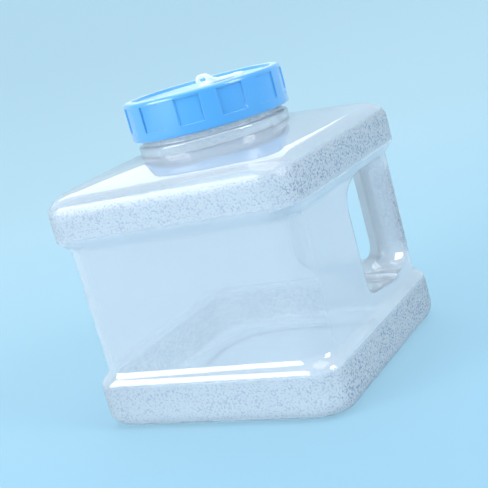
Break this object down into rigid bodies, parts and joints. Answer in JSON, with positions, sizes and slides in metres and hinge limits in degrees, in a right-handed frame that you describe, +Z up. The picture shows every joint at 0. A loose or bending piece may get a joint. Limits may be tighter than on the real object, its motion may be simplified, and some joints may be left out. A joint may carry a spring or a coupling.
{
  "type": "wide-mouth storage jug",
  "caption": "Square clear plastic jug with a hollow handle across one notched corner, a ribbed screw cap with a sealing ring, and a tethered vent plug.",
  "frame": {"origin": "centre of the standing face, under the neck's axis", "axes": "+Z up along the neck's axis; -Y towards the front panel; the handle stands at the +X +Y corner"},
  "size_m": [0.19, 0.19, 0.2212],
  "materials": {
    "clear_body": "clear pale blue polycarbonate, glossy, with pebbled bands",
    "blue_cap": "glossy translucent blue",
    "seal_rubber": "matt translucent silicone",
    "white_silicone": "satin white silicone"
  },
  "bodies": {
    "jug": {"jug_body": "clear_body"},
    "seal": {"cap_seal": "seal_rubber"},
    "cap": {"screw_cap": "blue_cap", "vent_anchor": "white_silicone"},
    "vent": {"vent_plug": "white_silicone"}
  },
  "joints": [
    {"name": "cap_rise", "type": "slide", "parent": "jug", "child": "seal", "axis": [0, 0, 1], "range_m": [0, 0.009]},
    {"name": "cap_turn", "type": "hinge", "parent": "seal", "child": "cap", "pos_m": [0, 0, 0.2], "axis": [0, 0, 1], "range_deg": [0, 540]},
    {"name": "vent_flip", "type": "hinge", "parent": "cap", "child": "vent", "pos_m": [0.0246, 0.001, 0.2162], "axis": [-0.5225, 0.8526, 0], "range_deg": [0, 150]}
  ],
  "couplings": [
    {"joint": "cap_rise", "follows": "cap_turn", "m_per_rad": 0.00095493}
  ]
}
